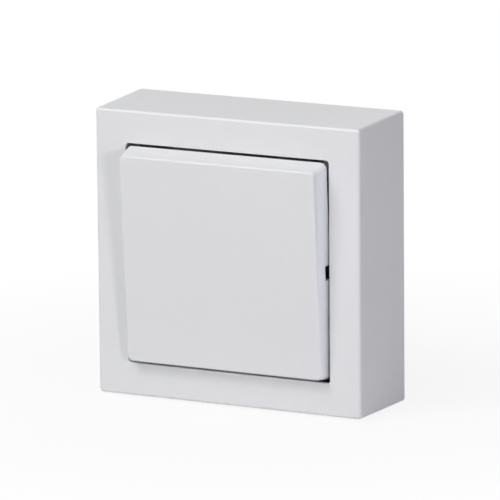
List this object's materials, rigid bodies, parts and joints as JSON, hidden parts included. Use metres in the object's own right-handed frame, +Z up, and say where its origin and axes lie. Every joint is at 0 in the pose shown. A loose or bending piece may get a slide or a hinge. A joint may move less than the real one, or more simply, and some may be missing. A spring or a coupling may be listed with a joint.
{
  "type": "surface-mounted rocker light switch",
  "caption": "Square surface-mounted light switch with a deep one-piece frame and one full-size rocker that works a double-pole contact mechanism.",
  "frame": {"origin": "centre of the back, in the plane of the wall", "axes": "+Z up, +Y into the wall, +X to the right as seen from the room"},
  "size_m": [0.085, 0.0352, 0.085],
  "materials": {
    "white_cover": "fine satin-gloss white moulding",
    "base_plastic": "matt light moulding",
    "carrier_plastic": "matt grey low-friction moulding",
    "housing_plastic": "matt dark moulding",
    "plated_steel": "zinc-plated sheet",
    "spring_steel": "bright drawn wire",
    "contact_brass": "stamped brass",
    "contact_silver": "silver contact metal"
  },
  "bodies": {
    "base": {"cover_frame": "white_cover", "mounting_base": "base_plastic", "support_plate": "plated_steel", "switch_housing": "housing_plastic", "housing_cover": "housing_plastic", "device_screw_left": "plated_steel", "fixed_tip_left": "contact_silver", "common_terminal_left": "contact_brass", "load_terminal_left": "contact_brass", "common_block_left": "contact_brass", "common_screw_left": "plated_steel", "load_block_left": "contact_brass", "load_screw_left": "plated_steel", "device_screw_right": "plated_steel", "fixed_tip_right": "contact_silver", "common_terminal_right": "contact_brass", "load_terminal_right": "contact_brass", "common_block_right": "contact_brass", "common_screw_right": "plated_steel", "load_block_right": "contact_brass", "load_screw_right": "plated_steel"},
    "rocker": {"rocker_button": "white_cover", "rocker_carrier": "carrier_plastic", "plunger_spring_left": "spring_steel", "plunger_spring_right": "spring_steel"},
    "plunger_left": {"plunger_left": "carrier_plastic"},
    "bridge_left": {"contact_bridge_left": "contact_brass", "moving_tip_left": "contact_silver"},
    "plunger_right": {"plunger_right": "carrier_plastic"},
    "bridge_right": {"contact_bridge_right": "contact_brass", "moving_tip_right": "contact_silver"}
  },
  "joints": [
    {"name": "rocker_press", "type": "hinge", "parent": "base", "child": "rocker", "pos_m": [0, -0.0252, 0], "axis": [-1, 0, 0], "range_deg": [0, 7.6]},
    {"name": "bridge_left_rock", "type": "hinge", "parent": "base", "child": "bridge_left", "pos_m": [-0.0097, -0.009, 0], "axis": [-1, 0, 0], "range_deg": [-14, 0]},
    {"name": "plunger_left_slide", "type": "slide", "parent": "rocker", "child": "plunger_left", "axis": [0, -0.9978, -0.0663], "range_m": [0, 0.0008], "stiffness_N_per_m": 400, "deforming": ["plunger_spring_left"]},
    {"name": "bridge_right_rock", "type": "hinge", "parent": "base", "child": "bridge_right", "pos_m": [0.0097, -0.009, 0], "axis": [-1, 0, 0], "range_deg": [-14, 0]},
    {"name": "plunger_right_slide", "type": "slide", "parent": "rocker", "child": "plunger_right", "axis": [0, -0.9978, -0.0663], "range_m": [0, 0.0008], "stiffness_N_per_m": 400, "deforming": ["plunger_spring_right"]}
  ],
  "couplings": [
    {"joint": "bridge_left_rock", "follows": "rocker_press", "ratio": -1.842},
    {"joint": "bridge_right_rock", "follows": "rocker_press", "ratio": -1.842}
  ]
}
